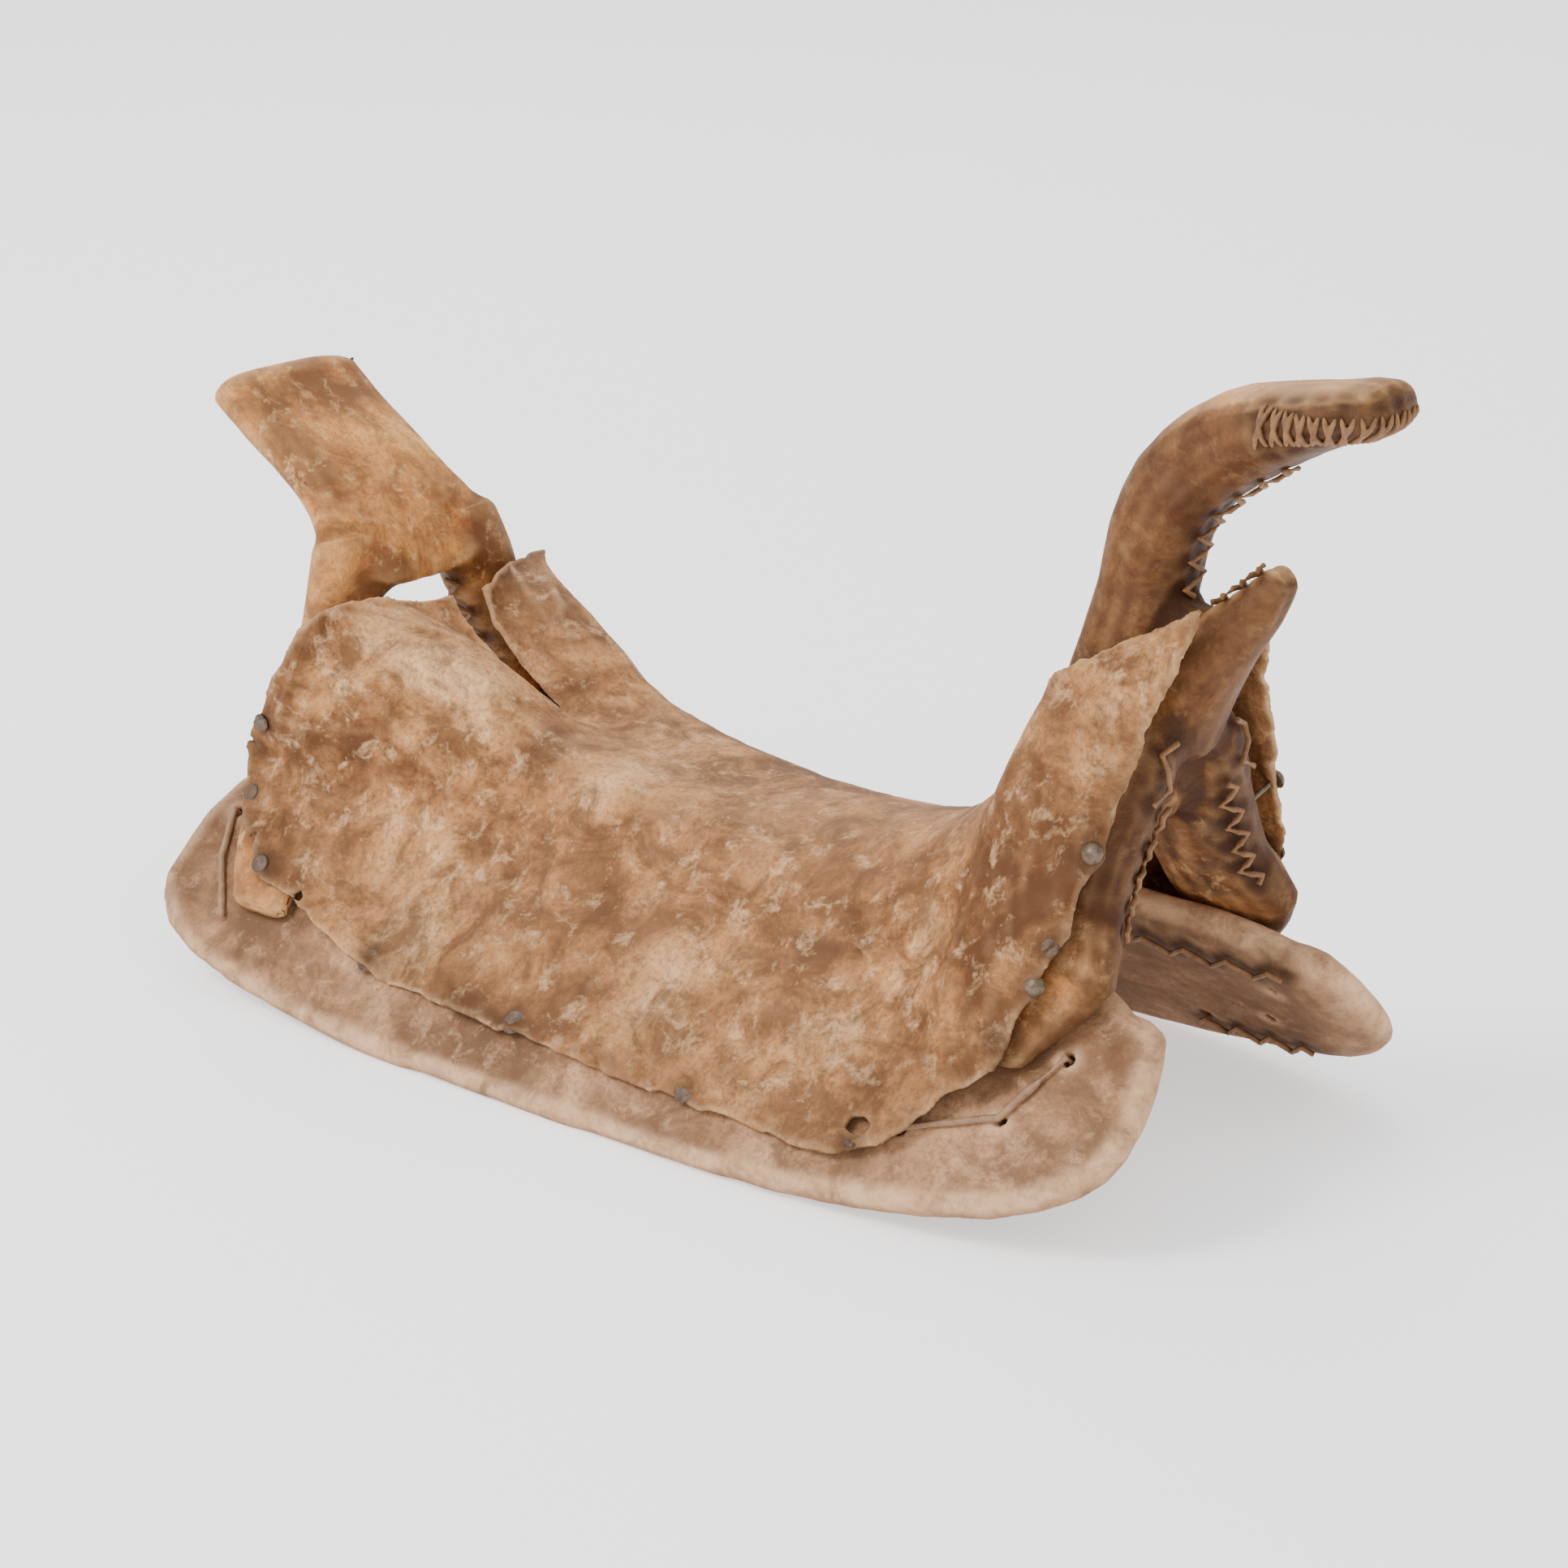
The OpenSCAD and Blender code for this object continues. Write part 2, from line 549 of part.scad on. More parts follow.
module rear_left_thong() { color(rawhide) mirror([0, 1, 0]) thong(rear_thong_holes); }
module right_clout_nails() { color("dimgray") for (spot = clouts) on_seat(spot, nail_lift) flat_nail(clout_d); }
module left_clout_nails() { mirror([0, 1, 0]) right_clout_nails(); }
module dome_tacks() { color("dimgray") both_sides() for (spot = domes) on_seat(spot, nail_lift) dome_tack(); }
module side_nails() { color("dimgray") both_sides() for (spot = edge_nails) on_seat(spot, 4 * nail_lift) flat_nail(edge_d); }
module slotted_screws() { color("dimgray") both_sides() for (spot = screws) on_seat(spot, nail_lift) slotted_screw(); }
module sunk_nails() { color("dimgray") both_sides() for (spot = sunk) on_seat(spot, nail_lift) sunk_nail(); }
module bent_nail() { color("dimgray") for (spot = bent) on_seat(spot, nail_lift) hooked_nail(); }

right_bar();
left_bar();
right_bar_rawhide();
left_bar_rawhide();
front_fork();
front_fork_rawhide();
cantle();
cantle_rawhide();
seat_leather();
horn_cap_lacing();
horn_seam_lacing();
hook_lacing();
throat_lacing();
right_leg_lacing();
left_leg_lacing();
right_bar_lacing();
left_bar_lacing();
cantle_arch_lacing();
front_right_thong();
front_left_thong();
rear_right_thong();
rear_left_thong();
right_clout_nails();
left_clout_nails();
dome_tacks();
side_nails();
slotted_screws();
sunk_nails();
bent_nail();
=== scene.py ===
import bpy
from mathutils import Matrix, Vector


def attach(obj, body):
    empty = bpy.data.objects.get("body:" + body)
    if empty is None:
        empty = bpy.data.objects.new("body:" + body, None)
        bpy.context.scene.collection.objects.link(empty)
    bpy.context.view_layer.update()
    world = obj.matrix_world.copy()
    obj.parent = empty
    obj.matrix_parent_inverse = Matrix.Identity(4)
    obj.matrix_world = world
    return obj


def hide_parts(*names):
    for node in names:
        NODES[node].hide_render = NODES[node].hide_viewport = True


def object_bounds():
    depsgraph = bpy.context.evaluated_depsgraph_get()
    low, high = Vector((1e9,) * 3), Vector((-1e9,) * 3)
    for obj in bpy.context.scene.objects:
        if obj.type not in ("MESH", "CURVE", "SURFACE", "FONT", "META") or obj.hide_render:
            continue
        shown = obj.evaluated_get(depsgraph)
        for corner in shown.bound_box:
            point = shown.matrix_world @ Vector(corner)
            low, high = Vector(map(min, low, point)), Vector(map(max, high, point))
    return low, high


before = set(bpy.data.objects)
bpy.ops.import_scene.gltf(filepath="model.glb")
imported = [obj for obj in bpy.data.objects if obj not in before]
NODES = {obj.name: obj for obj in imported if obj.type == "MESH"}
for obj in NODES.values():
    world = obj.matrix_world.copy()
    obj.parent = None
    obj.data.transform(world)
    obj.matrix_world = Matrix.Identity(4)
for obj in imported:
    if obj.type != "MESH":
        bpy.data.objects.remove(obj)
cad_box = [list(p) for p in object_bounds()]

import math

import bpy
import numpy as np
from mathutils import Matrix, Vector
from mathutils.bvhtree import BVHTree
from mathutils.kdtree import KDTree

MM = 0.001
LACES = [n for n in NODES if n.endswith("_lacing")]
NAILS = [n for n in NODES if n.endswith(("_nails", "_nail", "_tacks", "_screws"))]
THONGS = [n for n in NODES if n.endswith("_thong")]


# ---- camera ----
CAM_AZ, CAM_EL, CAM_ROLL = 39.9, 18.35, 0.79
CAM_AIM = Vector((6.95, 0, 119.4)) * MM
CAM_DISTANCE = 2.0
CAM_LENS = 105.0


def add_camera():
    az, el, roll = math.radians(CAM_AZ), math.radians(CAM_EL), math.radians(CAM_ROLL)
    back = Vector((math.sin(az) * math.cos(el), -math.cos(az) * math.cos(el), math.sin(el)))
    right = Vector((math.cos(az), math.sin(az), 0))
    up = back.cross(right)
    side = right * math.cos(roll) + up * math.sin(roll)
    top = up * math.cos(roll) - right * math.sin(roll)
    cam = bpy.data.objects.new("camera", bpy.data.cameras.new("camera"))
    bpy.context.scene.collection.objects.link(cam)
    cam.data.sensor_width = 36
    cam.data.lens = CAM_LENS
    cam.data.clip_start, cam.data.clip_end = 0.05, 100
    eye = CAM_AIM + back * CAM_DISTANCE
    cam.matrix_world = Matrix((
        (side.x, top.x, back.x, eye.x),
        (side.y, top.y, back.y, eye.y),
        (side.z, top.z, back.z, eye.z),
        (0, 0, 0, 1)))
    bpy.context.scene.camera = cam


# ---- meshes as arrays ----
def node_arrays(*names):
    """Vertices and triangles of CAD nodes, as one welded mesh."""
    points, tris, base = [], [], 0
    for name in names:
        me = NODES[name].data
        me.calc_loop_triangles()
        co = np.zeros(len(me.vertices) * 3, np.float32)
        me.vertices.foreach_get("co", co)
        tri = np.zeros(len(me.loop_triangles) * 3, np.int32)
        me.loop_triangles.foreach_get("vertices", tri)
        points.append(co.reshape(-1, 3).astype(float))
        tris.append(tri.reshape(-1, 3) + base)
        base += len(me.vertices)
    points, tris = np.vstack(points), np.vstack(tris)
    _, first, weld = np.unique(np.round(points, 7), axis=0, return_index=True, return_inverse=True)
    tris = weld.ravel()[tris]
    tris = tris[(tris[:, 0] != tris[:, 1]) & (tris[:, 1] != tris[:, 2]) & (tris[:, 0] != tris[:, 2])]
    return points[first], tris


def new_object(name, points, faces):
    me = bpy.data.meshes.new(name)
    me.from_pydata([tuple(p) for p in points], [], [tuple(int(i) for i in f) for f in faces])
    me.update()
    ob = bpy.data.objects.new(name, me)
    bpy.context.scene.collection.objects.link(ob)
    return ob


def read_points(ob):
    co = np.zeros(len(ob.data.vertices) * 3, np.float32)
    ob.data.vertices.foreach_get("co", co)
    return co.reshape(-1, 3).astype(float)


def write_points(ob, points):
    ob.data.vertices.foreach_set("co", points.astype(np.float32).ravel())
    ob.data.update()


def edges_of(ob):
    e = np.zeros(len(ob.data.edges) * 2, np.int32)
    ob.data.edges.foreach_get("vertices", e)
    return e.reshape(-1, 2)


def normals_of(ob):
    n = np.zeros(len(ob.data.vertices) * 3, np.float32)
    ob.data.vertex_normals.foreach_get("vector", n)
    return n.reshape(-1, 3).astype(float)


def relaxed(points, edges, rounds, keep_volume=True):
    """The points after some rounds of smoothing along the edges."""
    count = np.bincount(edges.ravel(), minlength=len(points)).astype(float)[:, None]
    count[count == 0] = 1
    p = points.copy()
    for _ in range(rounds):
        for share in ((0.5, -0.52) if keep_volume else (0.5,)):
            total = np.zeros_like(p)
            for axis in range(3):
                total[:, axis] = np.bincount(edges[:, 0], p[edges[:, 1], axis], len(p))
                total[:, axis] += np.bincount(edges[:, 1], p[edges[:, 0], axis], len(p))
            p = p + share * (total / count - p)
    return p


def largest_part(ob):
    """Keeps the connected part with the widest box, and drops shells left inside it."""
    e = edges_of(ob)
    label = np.arange(len(ob.data.vertices))
    while True:
        low = np.minimum(label[e[:, 0]], label[e[:, 1]])
        new = label.copy()
        np.minimum.at(new, e[:, 0], low)
        np.minimum.at(new, e[:, 1], low)
        new = new[new]
        if (new == label).all():
            break
        label = new
    p = read_points(ob)
    best, size = None, -1
    for root, n in zip(*np.unique(label, return_counts=True)):
        if n < 200:
            continue
        q = p[label == root]
        diagonal = np.linalg.norm(q.max(0) - q.min(0))
        if diagonal > size:
            best, size = root, diagonal
    keep = label == best
    if keep.all():
        return
    number = np.cumsum(keep) - 1
    faces = [[number[i] for i in f.vertices] for f in ob.data.polygons if keep[f.vertices[0]]]
    me = bpy.data.meshes.new(ob.data.name)
    me.from_pydata([tuple(q) for q in p[keep]], [], [tuple(int(i) for i in f) for f in faces])
    me.update()
    ob.data = me


def voxel(ob, size):
    """Rebuilds the object's surface from even cells of that size."""
    mod = ob.modifiers.new("cells", "REMESH")
    mod.mode = "VOXEL"
    mod.voxel_size = size
    mod.adaptivity = 0
    dg = bpy.context.evaluated_depsgraph_get()
    me = bpy.data.meshes.new_from_object(ob.evaluated_get(dg))
    ob.modifiers.clear()
    ob.data = me


def smooth_faces(ob):
    ob.data.polygons.foreach_set("use_smooth", [True] * len(ob.data.polygons))
    ob.data.update()


def set_mask(ob, name, values):
    layer = ob.data.attributes.new(name, "FLOAT", "POINT")
    layer.data.foreach_set("value", np.clip(values, 0, 1).astype(np.float32))


# ---- noise ----
def lattice(ix, iy, iz, seed):
    h = (ix * 73856093) ^ (iy * 19349663) ^ (iz * 83492791) ^ (seed * 2654435761)
    h = (h ^ (h >> 13)) * 1274126177 & 0xFFFFFFFF
    h = (h ^ (h >> 15)) * 2246822519 & 0xFFFFFFFF
    return ((h >> 8) & 0xFFFF) / 32767.5 - 1


def bumps(points, size, seed):
    """Smooth noise from -1 to 1 whose lumps are about that size."""
    q = points / size + 1000.0
    i = np.floor(q).astype(np.int64)
    f = q - i
    f = f * f * (3 - 2 * f)
    out = 0
    for a in (0, 1):
        for b in (0, 1):
            for c in (0, 1):
                w = ((f[:, 0] if a else 1 - f[:, 0]) * (f[:, 1] if b else 1 - f[:, 1])
                     * (f[:, 2] if c else 1 - f[:, 2]))
                out = out + w * lattice(i[:, 0] + a, i[:, 1] + b, i[:, 2] + c, seed)
    return out


def near(points, targets, reach):
    """Distance from each point to the nearest target, or reach where none is nearer."""
    out = np.full(len(points), reach)
    lo, hi = targets.min(0) - reach, targets.max(0) + reach
    inside = np.where(((points > lo) & (points < hi)).all(1))[0]
    if len(inside) == 0:
        return out
    tree = KDTree(len(targets))
    for i, t in enumerate(targets):
        tree.insert(t, i)
    tree.balance()
    for i in inside:
        out[i] = min(reach, tree.find(points[i])[2])
    return out


def bell(d, width):
    return np.exp(-(d / width) ** 2)


def parts_of(name):
    """The points of each separate solid of a node, such as each nail's."""
    p, t = node_arrays(name)
    label = np.arange(len(p))
    while True:
        new = label.copy()
        for a, b in ((0, 1), (1, 2), (2, 0)):
            low = np.minimum(new[t[:, a]], new[t[:, b]])
            np.minimum.at(new, t[:, a], low)
            np.minimum.at(new, t[:, b], low)
        if (new == label).all():
            break
        label = new
    return [p[label == r] for r in np.unique(label)]


def outer_end(points):
    """The head's end of a nail: the part of it that has the widest ring of points."""
    centre = points.mean(0)
    axis = np.linalg.svd(points - centre, full_matrices=False)[2][0]
    t = (points - centre) @ axis
    wide = []
    for end in (t < t.min() + 2 * MM, t > t.max() - 2 * MM):
        q = points[end]
        wide.append((np.linalg.norm(q - q.mean(0), axis=1).max(), tuple(q.mean(0))))
    return np.array(max(wide)[1])


HEADS = {n: np.array([outer_end(q) for q in parts_of(n)]) for n in NAILS}
ALL_HEADS = np.vstack(list(HEADS.values()))
LACE_POINTS = np.vstack([node_arrays(n)[0] for n in LACES])


# ---- materials ----
class Nodes:
    """Short calls for building one material's node tree."""

    def __init__(self, name):
        self.mat = bpy.data.materials.new(name)
        self.mat.use_nodes = True
        self.tree = self.mat.node_tree
        self.shader = self.tree.nodes["Principled BSDF"]
        self.coord = self.tree.nodes.new("ShaderNodeTexCoord").outputs["Object"]

    def link(self, a, b):
        self.tree.links.new(a, b)

    def put(self, socket, value):
        if hasattr(value, "is_output") or hasattr(value, "links"):
            self.link(value, socket)
        else:
            socket.default_value = value

    def noise(self, scale, detail=4, rough=0.55, distort=0.0, stretch=None):
        n = self.tree.nodes.new("ShaderNodeTexNoise")
        n.inputs["Scale"].default_value = scale
        n.inputs["Detail"].default_value = detail
        n.inputs["Roughness"].default_value = rough
        n.inputs["Distortion"].default_value = distort
        source = self.coord
        if stretch:
            m = self.tree.nodes.new("ShaderNodeMapping")
            m.inputs["Scale"].default_value = stretch
            self.link(self.coord, m.inputs["Vector"])
            source = m.outputs["Vector"]
        self.link(source, n.inputs["Vector"])
        return n.outputs["Fac"]

    def cells(self, scale, feature="F1"):
        n = self.tree.nodes.new("ShaderNodeTexVoronoi")
        n.feature = feature
        n.inputs["Scale"].default_value = scale
        self.link(self.coord, n.inputs["Vector"])
        return n.outputs["Distance"]

    def attribute(self, name):
        n = self.tree.nodes.new("ShaderNodeAttribute")
        n.attribute_name = name
        return n.outputs["Fac"]

    def ramp(self, fac, stops):
        n = self.tree.nodes.new("ShaderNodeValToRGB")
        e = n.color_ramp.elements
        while len(e) < len(stops):
            e.new(0.5)
        for i, (at, colour) in enumerate(stops):
            e[i].position = at
            e[i].color = (*colour, 1) if hasattr(colour, "__len__") else (colour, colour, colour, 1)
        self.link(fac, n.inputs["Fac"])
        return n.outputs["Color"]

    def mix(self, fac, a, b, kind="MIX"):
        n = self.tree.nodes.new("ShaderNodeMix")
        n.data_type = "RGBA"
        n.blend_type = kind
        self.put(n.inputs[0], fac)
        for socket, v in ((n.inputs[6], a), (n.inputs[7], b)):
            self.put(socket, (*v, 1) if isinstance(v, tuple) and len(v) == 3 else v)
        return n.outputs[2]

    def math(self, kind, a, b=0.5, clamp=False):
        n = self.tree.nodes.new("ShaderNodeMath")
        n.operation = kind
        n.use_clamp = clamp
        self.put(n.inputs[0], a)
        self.put(n.inputs[1], b)
        return n.outputs[0]

    def bump(self, height, strength, distance, before=None):
        n = self.tree.nodes.new("ShaderNodeBump")
        n.inputs["Strength"].default_value = strength
        n.inputs["Distance"].default_value = distance
        self.link(height, n.inputs["Height"])
        if before is not None:
            self.link(before, n.inputs["Normal"])
        return n.outputs["Normal"]


def hide(name, dark, mid, light, pale, dust_and_top_light, dust_and_top_light_share, gloss):
    """Old rawhide or leather: cloudy umber over tan, rubbed edges, dark seams and stains, fine pores."""
    m = Nodes(name)
    cloud = m.noise(13, 7, 0.62, 0.5, (1.0, 1.0, 1.25))
    base = m.ramp(cloud, [(0.38, dark), (0.47, mid), (0.57, light), (0.76, pale)])
    blotch = m.noise(38, 6, 0.68, 0.8)
    base = m.mix(m.math("MULTIPLY", m.ramp(blotch, [(0.44, 0.0), (0.60, 1.0)]), 0.78), base, dark)
    rubbed = m.noise(88, 8, 0.72, 0.35)
    base = m.mix(m.math("MULTIPLY", m.ramp(rubbed, [(0.54, 0.0), (0.66, 1.0)]), 0.5), base, pale)
    speck = m.noise(420, 5, 0.7)
    base = m.mix(m.math("MULTIPLY", m.ramp(speck, [(0.36, 1.0), (0.54, 0.0)]), 0.5), base, dark)
    # dust lies on what faces up; the same pale tone is also painted light on upward faces, strongest on the fork
    normal = m.tree.nodes.new("ShaderNodeNewGeometry").outputs["Normal"]
    split = m.tree.nodes.new("ShaderNodeSeparateXYZ")
    m.link(normal, split.inputs[0])
    up = m.ramp(split.outputs[2], [(0.45, 0.0), (0.97, 1.0)])
    up = m.math("MULTIPLY", up, m.ramp(m.noise(22, 6, 0.6), [(0.3, 0.45), (0.7, 1.0)]))
    base = m.mix(m.math("MULTIPLY", up, dust_and_top_light_share), base, dust_and_top_light)
    # painted shade: parts marked in the shade attribute are darkened towards the dark tone
    shade = m.math("MULTIPLY", m.attribute("shade"), m.ramp(m.noise(42, 6, 0.65, 0.6), [(0.35, 1.0), (0.7, 0.7)]))
    base = m.mix(m.math("MULTIPLY", shade, 0.9, True), base, tuple(c * 0.8 for c in dark))
    wear = m.math("MULTIPLY", m.attribute("wear"), m.ramp(m.noise(60, 6, 0.7, 0.6), [(0.35, 0.25), (0.6, 1.0)]))
    base = m.mix(m.math("MULTIPLY", wear, 0.85, True), base, pale)
    # darker in the hollows of the surface
    base = m.mix(m.math("MULTIPLY", m.attribute("hollow_darkening"), 0.75, True), base, tuple(c * 0.45 for c in dark))
    base = m.mix(m.math("MULTIPLY", m.attribute("seam"), 0.8, True), base, tuple(c * 0.4 for c in dark))
    m.link(base, m.shader.inputs["Base Color"])
    rough = m.math("ADD", m.math("MULTIPLY", m.noise(55, 5, 0.6), 0.28), gloss - 0.14)
    m.link(rough, m.shader.inputs["Roughness"])
    m.shader.inputs["Specular IOR Level"].default_value = 0.15
    pores = m.math("ADD", m.math("MULTIPLY", m.cells(780), 0.6), m.noise(1400, 3, 0.6))
    fine = m.bump(pores, 0.34, 0.0004)
    crease = m.bump(m.noise(210, 6, 0.65, 1.5, (1, 1, 1.6)), 0.4, 0.0009, fine)
    m.link(m.bump(m.noise(48, 5, 0.6, 0.4), 0.35, 0.003, crease), m.shader.inputs["Normal"])
    return m.mat


def lace_material(name, dark, light):
    m = Nodes(name)
    base = m.ramp(m.noise(150, 5, 0.65, 0.4), [(0.3, dark), (0.7, light)])
    base = m.mix(m.math("MULTIPLY", m.attribute("wear"), 0.2, True), base, tuple(min(1, c * 1.3) for c in light))
    # darker in the hollows of the cord
    base = m.mix(m.math("MULTIPLY", m.attribute("hollow_darkening"), 0.8, True), base, tuple(c * 0.4 for c in dark))
    m.link(base, m.shader.inputs["Base Color"])
    m.shader.inputs["Roughness"].default_value = 0.62
    m.shader.inputs["Specular IOR Level"].default_value = 0.35
    m.link(m.bump(m.noise(900, 4, 0.6, 0.5), 0.4, 0.0004), m.shader.inputs["Normal"])
    return m.mat


def metal_material(name, dark, light, metallic, rough):
    m = Nodes(name)
    base = m.ramp(m.noise(330, 6, 0.7, 0.5), [(0.3, dark), (0.7, light)])
    m.link(base, m.shader.inputs["Base Color"])
    m.shader.inputs["Metallic"].default_value = metallic
    m.link(m.math("ADD", m.math("MULTIPLY", m.noise(500, 5, 0.7), 0.3), rough - 0.15), m.shader.inputs["Roughness"])
    m.link(m.bump(m.noise(900, 5, 0.7), 0.4, 0.0003), m.shader.inputs["Normal"])
    return m.mat


MAT = {
    "bar_rawhide": hide("bar_hide", (0.12, 0.052, 0.022), (0.30, 0.145, 0.07), (0.47, 0.245, 0.125),
                        (0.68, 0.42, 0.24), (0.42, 0.26, 0.155), 0.3, 0.72),
    # the fork's bright top tone at share 0.6 is mostly painted light on its upward faces, the horn cap's top most
    "fork_rawhide": hide("fork_hide", (0.07, 0.022, 0.006), (0.33, 0.125, 0.038), (0.56, 0.24, 0.075),
                         (0.86, 0.50, 0.22), (0.90, 0.52, 0.25), 0.6, 0.55),
    "cantle_rawhide": hide("cantle_hide", (0.15, 0.05, 0.013), (0.48, 0.185, 0.05), (0.74, 0.31, 0.075),
                           (0.92, 0.55, 0.24), (0.72, 0.40, 0.17), 0.15, 0.52),
    "seat_leather": hide("seat_hide", (0.10, 0.038, 0.012), (0.34, 0.145, 0.052), (0.56, 0.265, 0.10),
                         (0.88, 0.56, 0.30), (0.42, 0.235, 0.125), 0.25, 0.66),
    "lacing": lace_material("lace", (0.085, 0.036, 0.013), (0.25, 0.12, 0.048)),
    "thong": lace_material("thong_hide", (0.14, 0.075, 0.038), (0.34, 0.20, 0.115)),
    "nail_iron": metal_material("nail_iron", (0.045, 0.026, 0.017), (0.15, 0.095, 0.062), 0.45, 0.55),
    "tack_brass": metal_material("tack_brass", (0.06, 0.04, 0.025), (0.20, 0.14, 0.09), 0.55, 0.45),
}


# ---- pieces ----
SEAT_T = 2.8 * MM
SEAT_CELL = 1.3 * MM
CUTTER_REACH = 9 * MM


def curvature(points, edges, normals, rounds):
    """How far each point stands out of (above 0) or lies in (below 0) its smoothed surroundings, in metres."""
    flat = relaxed(points, edges, rounds, False)
    return ((points - flat) * normals).sum(1)


def finish_piece(ob, slot, replaced, wear_rounds=10, wear_scale=0.35 * MM, seam_width=5 * MM, stain=True, rim=None,
                 shade=None):
    smooth_faces(ob)
    p, e, n = read_points(ob), edges_of(ob), normals_of(ob)
    c = curvature(p, e, n, wear_rounds)
    c = relaxed(np.repeat(c[:, None], 3, 1), e, 3, False)[:, 0]
    # painted shade mask from the piece's shade function; edge wear is dimmed where it is shaded
    painted_shade_mask = np.zeros(len(p)) if shade is None else shade(p, n)
    worn = np.clip(c / wear_scale, 0, 1) * (1 - 0.7 * painted_shade_mask)
    set_mask(ob, "wear", worn if rim is None else np.maximum(0.35 * worn, rim))
    set_mask(ob, "shade", painted_shade_mask)
    # how far each point lies in a hollow, which the materials darken
    set_mask(ob, "hollow_darkening", np.clip(-c / (1.4 * wear_scale), 0, 1))
    seam = np.zeros(len(p))
    if stain:
        seam = np.maximum(0.8 * bell(near(p, LACE_POINTS, 4 * seam_width), 1.7 * seam_width),
                          0.9 * bell(near(p, ALL_HEADS, 30 * MM), 8.5 * MM))
    set_mask(ob, "seam", seam)
    ob.data.materials.clear()
    ob.data.materials.append(MAT[slot])
    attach(ob, "root")
    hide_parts(*replaced)
    return ob


def hide_piece(name, nodes, slot, cell, rounds, lumps, shade=None, fillet=0):
    """A rawhide-covered wooden member: its CAD solids as one smooth, lumpy, seamed surface."""
    ob = new_object(name, *node_arrays(*nodes))
    voxel(ob, cell)
    largest_part(ob)
    if fillet:
        write_points(ob, relaxed(read_points(ob), edges_of(ob), 8) + fillet * normals_of(ob))
        voxel(ob, cell)
        largest_part(ob)
        write_points(ob, relaxed(read_points(ob), edges_of(ob), 8) - fillet * normals_of(ob))
    p, e = read_points(ob), edges_of(ob)
    p = relaxed(p, e, rounds)
    write_points(ob, p)
    n = normals_of(ob)
    rise = sum(a * MM * bumps(p, s * MM, k) for k, (s, a) in enumerate(lumps, 3))
    d = near(p, LACE_POINTS, 16 * MM)
    rise = rise + 0.35 * MM * bell(d - 6.5 * MM, 3 * MM) - 0.6 * MM * bell(d, 2.5 * MM)
    p = p + n * rise[:, None]
    p[:, 2] = np.maximum(p[:, 2], 0.0)
    write_points(ob, p)
    return finish_piece(ob, slot, nodes, shade=shade)


def dark_horn_and_painted_shade(p, n):
    """The horn and the hook are darker, partly in their own umber colour and partly as painted shade, and painted
    shade darkens the fork's forward-facing faces; the horn cap's top is left out.
    """
    high = np.clip((p[:, 2] - 0.185) / 0.03, 0, 1)
    front = np.clip((n[:, 0] - 0.15) * 2.2, 0, 1)
    top = np.clip((n[:, 2] - 0.45) * 3, 0, 1) * np.clip((p[:, 0] - 0.2) / 0.03, 0, 1)
    return np.maximum(high, front) * (1 - top)


def small_piece(name, node, slot, cell, rounds, wobble=0.0):
    ob = new_object(name, *node_arrays(node))
    voxel(ob, cell)
    p, e = read_points(ob), edges_of(ob)
    p = relaxed(p, e, rounds)
    if wobble:
        p = p + wobble * np.stack([bumps(p, 5 * MM, k) for k in (31, 32, 33)], 1)
    write_points(ob, p)
    return finish_piece(ob, slot, [node], 4, 0.12 * MM, stain=False)


def border_cloud(points, tris, thickness):
    """Points all over the cut edges of a sheet, which are the triangles with a side as long as it is thick."""
    out = []
    for t in tris:
        q = points[t]
        sides = [np.linalg.norm(q[i] - q[(i + 1) % 3]) for i in range(3)]
        if min(abs(s - thickness) for s in sides) < 0.02 * MM and max(sides) > 4 * MM:
            for a in np.linspace(0, 1, 9):
                for b in np.linspace(0, 1 - a, 3):
                    out.append(q[0] + a * (q[1] - q[0]) + b * (q[2] - q[0]))
    return np.array(out)


def seat_painted_shade(p, n):
    """Painted shade on the seat leather: darker along its low borders, up the fork and round the cantle's foot."""
    low = np.clip((0.075 - p[:, 2]) / 0.05, 0, 1)
    fore = np.clip((p[:, 0] - 0.13) / 0.1, 0, 1)
    aft = np.clip((-p[:, 0] - 0.19) / 0.05, 0, 1)
    return 0.75 * np.clip(low + 0.9 * fore + aft, 0, 1) * np.clip(0.75 + 0.8 * bumps(p, 38 * MM, 61), 0, 1)


def bar_painted_shade(p, n):
    """Painted shade on the bars: darker underneath, on the inner face and round their rear ends."""
    return np.clip(np.clip(-1.3 * n[:, 2], 0, 1) + 0.5 * np.clip((-p[:, 0] - 0.23) / 0.04, 0, 1), 0, 0.85)


def prism(name, centre, outline):
    """A cutter square to the seat's near flap: outline points, anticlockwise, go along the bar and up its slope."""
    along, up, out = Vector((1, 0, 0)), Vector((0, 0.7071, 0.7071)), Vector((0, -0.7071, 0.7071))
    ring = [Vector(centre) * MM + (a * along + b * up) * MM for a, b in outline]
    n = len(ring)
    points = [q - out * CUTTER_REACH for q in ring] + [q + out * CUTTER_REACH for q in ring]
    faces = [tuple(range(n))[::-1], tuple(range(n, 2 * n))]
    faces += [(i, (i + 1) % n, n + (i + 1) % n, n + i) for i in range(n)]
    return new_object(name, points, faces)


def cut_out(ob, cutters):
    for k in cutters:
        mod = ob.modifiers.new("cut", "BOOLEAN")
        mod.operation = "DIFFERENCE"
        mod.solver = "EXACT"
        mod.object = k
    dg = bpy.context.evaluated_depsgraph_get()
    ob.data = bpy.data.meshes.new_from_object(ob.evaluated_get(dg))
    ob.modifiers.clear()
    for k in cutters:
        bpy.data.objects.remove(k)


def on_flap(tree, along, height):
    """The near flap's surface at a share of the tree's length from its middle and a share of its height."""
    lo, hi = cad_box
    x, z = along * (hi[0] - lo[0]), height * (hi[2] - lo[2])
    return tree.ray_cast(Vector((x, 2 * lo[1], z)), Vector((0, 1, 0)))[0] / MM


